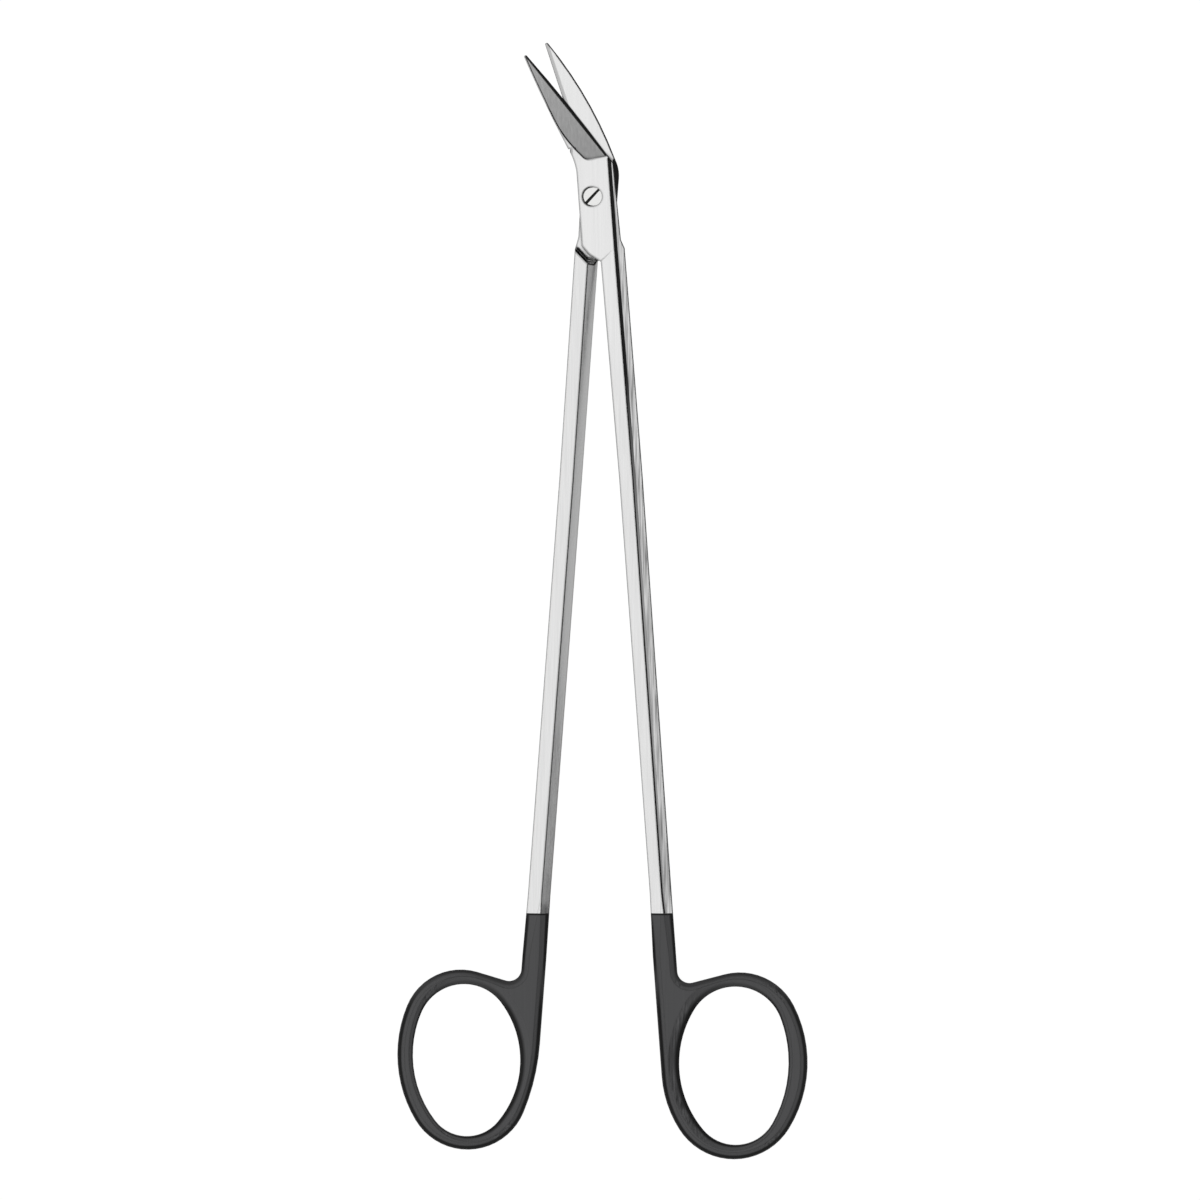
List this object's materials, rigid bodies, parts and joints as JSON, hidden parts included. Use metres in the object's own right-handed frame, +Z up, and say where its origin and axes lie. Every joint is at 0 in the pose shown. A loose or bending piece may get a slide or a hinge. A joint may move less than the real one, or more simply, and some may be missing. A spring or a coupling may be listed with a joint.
{
  "type": "vascular scissors",
  "caption": "Slender angled vascular scissors with pointed blades, a slotted pivot screw, long ridged shanks and oval black-coated finger rings.",
  "frame": {"origin": "on the axis of the pivot screw, in the plane of the back face that the joint rests on", "axes": "+Z up through the thickness, out of the face with the screw head; +Y from the joint towards the blades; +X towards the finger ring of the front limb"},
  "size_m": [0.0698, 0.19, 0.0044],
  "materials": {
    "limb_steel": "satin",
    "screw_steel": "polished"
  },
  "bodies": {
    "rear": {"rear_limb": "limb_steel", "pivot_screw": "screw_steel"},
    "front": {"front_limb": "limb_steel"}
  },
  "joints": [
    {"name": "pivot", "type": "hinge", "parent": "rear", "child": "front", "pos_m": [0, 0, 0.0022], "axis": [0, 0, 1], "range_deg": [-7.8, 80]}
  ]
}
